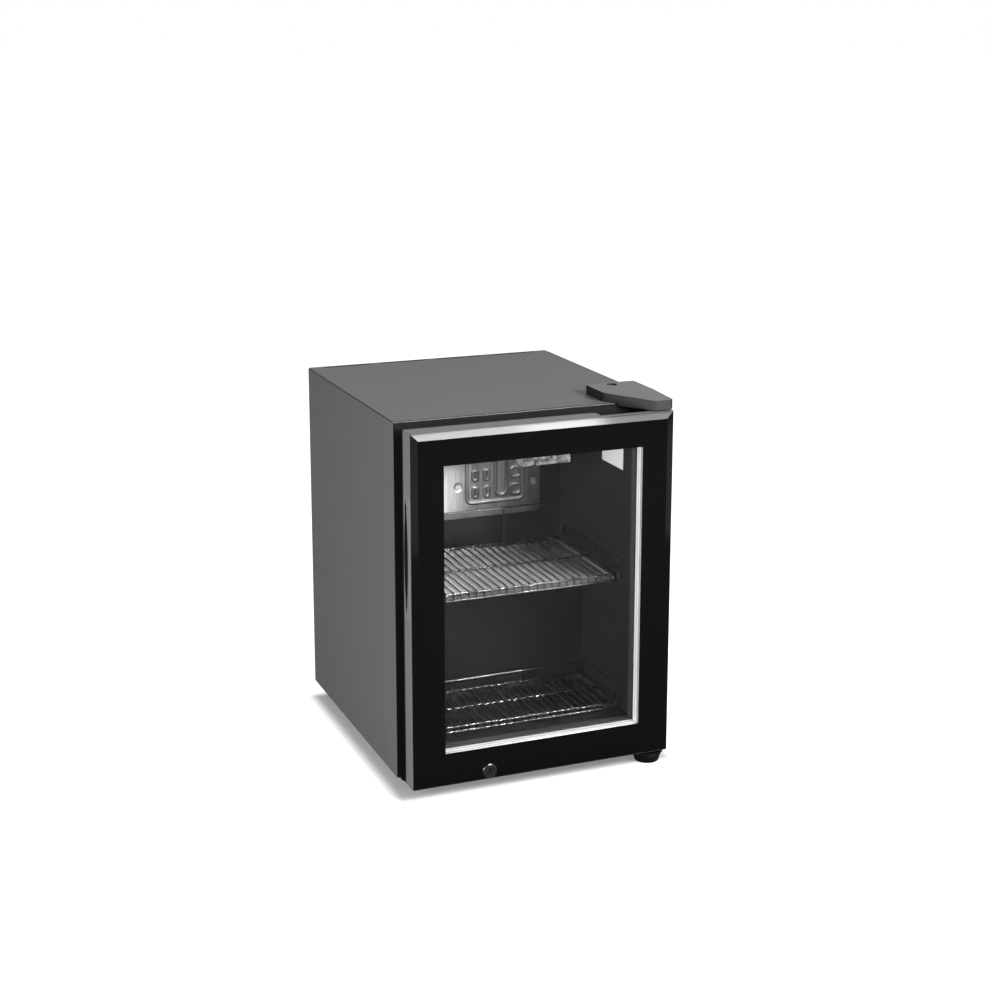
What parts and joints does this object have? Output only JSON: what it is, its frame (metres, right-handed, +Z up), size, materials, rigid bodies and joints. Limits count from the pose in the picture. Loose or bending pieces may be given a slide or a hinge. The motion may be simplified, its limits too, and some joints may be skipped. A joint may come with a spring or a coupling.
{
  "type": "glass door mini fridge",
  "caption": "Free-standing countertop cooler with a framed double-glazed door, wire shelves, a side finger grip, a cam lock and a rear compressor",
  "frame": {"origin": "on the floor, under the centre of the overall width and depth", "axes": "+X to the right seen from the door, +Y from the door to the back, +Z up"},
  "size_m": [0.368, 0.428, 0.5],
  "materials": {
    "side_paint": "fine-textured dark grey paint",
    "top_paint": "fine-textured dark grey paint",
    "bare_steel": "zinc-coated sheet",
    "liner_plastic": "satin black moulding",
    "foam": "rigid foam, cream",
    "trim_plastic": "satin black moulding",
    "evaporator_metal": "dull silver coated sheet",
    "screw_steel": "bright zinc",
    "lamp_plastic": "white moulding",
    "board": "white coated board",
    "lens_plastic": "clear ribbed plastic",
    "label_white": "plain white film",
    "compressor_paint": "black stove enamel",
    "motor_iron": "machined iron and windings",
    "grommet_rubber": "black rubber",
    "terminal_plastic": "black moulding",
    "coil_paint": "black paint",
    "copper": "bare copper",
    "drain_plastic": "grey plastic",
    "pan_plastic": "black moulding",
    "control_plastic": "black moulding",
    "contact_brass": "nickelled brass",
    "hinge_steel": "black coated steel",
    "cover_plastic": "fine-grained dark grey moulding",
    "frame_paint": "gloss black",
    "key_plastic": "black moulding",
    "glass": "clear tempered sheet",
    "spacer_metal": "perforated bright aluminium",
    "bead_plastic": "satin black moulding",
    "gasket_rubber": "black soft seal",
    "grip_plastic": "satin black moulding",
    "bush_plastic": "natural nylon",
    "lock_chrome": "polished",
    "cam_steel": "zinc-coated",
    "knob_plastic": "light grey moulding",
    "rocker_plastic": "red moulding",
    "foot_plastic": "black moulding",
    "wire_coating": "black plastic-coated wire",
    "tray_plastic": "pale moulding"
  },
  "bodies": {
    "cabinet": {"side_panel_left": "side_paint", "side_panel_right": "side_paint", "top_panel": "top_paint", "top_rail": "top_paint", "base_pan": "bare_steel", "rear_cover": "bare_steel", "divider_sheet": "bare_steel", "inner_liner": "liner_plastic", "foam_body": "foam", "front_trim": "trim_plastic", "evaporator_plate": "evaporator_metal", "evaporator_screws": "screw_steel", "lamp_base": "lamp_plastic", "lamp_board": "board", "lamp_lens": "lens_plastic", "wall_label": "label_white", "compressor_shell": "compressor_paint", "compressor_core": "motor_iron", "compressor_grommets": "grommet_rubber", "terminal_box": "terminal_plastic", "condenser_coil": "coil_paint", "condenser_clips": "terminal_plastic", "filter_drier": "copper", "suction_line": "copper", "drain_tube": "drain_plastic", "evaporation_pan": "pan_plastic", "thermostat_body": "drain_plastic", "control_housing": "control_plastic", "supply_inlet": "control_plastic", "inlet_pins": "contact_brass", "rear_cover_screws": "screw_steel", "top_hinge_plate": "hinge_steel", "top_hinge_screws": "screw_steel", "hinge_cover": "cover_plastic", "lower_hinge_bracket": "hinge_steel", "underside_screws": "screw_steel", "lock_strike": "hinge_steel", "rear_feet": "foot_plastic"},
    "door": {"door_rail_bottom": "frame_paint", "door_stile_right": "frame_paint", "door_rail_top": "frame_paint", "door_stile_left": "frame_paint", "door_corner_keys": "key_plastic", "outer_pane": "glass", "inner_pane": "glass", "pane_spacer": "spacer_metal", "glazing_bead": "bead_plastic", "door_gasket": "gasket_rubber", "door_grip": "grip_plastic", "hinge_bushes": "bush_plastic", "lock_barrel": "lock_chrome"},
    "lock": {"lock_plug": "lock_chrome", "lock_cam": "cam_steel"},
    "knob": {"thermostat_knob": "knob_plastic"},
    "rocker": {"light_switch_rocker": "rocker_plastic"},
    "left_foot": {"front_foot_left": "foot_plastic"},
    "right_foot": {"front_foot_right": "foot_plastic"},
    "upper_shelf": {"upper_shelf_rack": "wire_coating", "upper_shelf_tray": "tray_plastic"},
    "lower_shelf": {"lower_shelf_rack": "wire_coating"}
  },
  "joints": [
    {"name": "door_hinge", "type": "hinge", "parent": "cabinet", "child": "door", "pos_m": [0.1605, -0.1885, 0.25], "axis": [0, 0, 1], "range_deg": [0, 110]},
    {"name": "lock_turn", "type": "hinge", "parent": "door", "child": "lock", "pos_m": [-0.076, -0.2, 0.031], "axis": [0, -1, 0], "range_deg": [0, 90]},
    {"name": "knob_turn", "type": "hinge", "parent": "cabinet", "child": "knob", "pos_m": [0.12, 0.205, 0.256], "axis": [0, 1, 0], "range_deg": [0, 300]},
    {"name": "rocker_tilt", "type": "hinge", "parent": "cabinet", "child": "rocker", "pos_m": [0.072, 0.2088, 0.256], "axis": [-1, 0, 0], "range_deg": [0, 18]},
    {"name": "left_foot_turn", "type": "hinge", "parent": "cabinet", "child": "left_foot", "pos_m": [-0.152, -0.13, 0.01], "axis": [0, 0, 1], "range_deg": [0, 360]},
    {"name": "right_foot_turn", "type": "hinge", "parent": "cabinet", "child": "right_foot", "pos_m": [0.1605, -0.1885, 0.01], "axis": [0, 0, 1], "range_deg": [0, 360]},
    {"name": "upper_shelf_slide", "type": "slide", "parent": "cabinet", "child": "upper_shelf", "axis": [0, -1, 0], "range_m": [0, 0.035]},
    {"name": "lower_shelf_slide", "type": "slide", "parent": "cabinet", "child": "lower_shelf", "axis": [0, -1, 0], "range_m": [0, 0.035]}
  ]
}
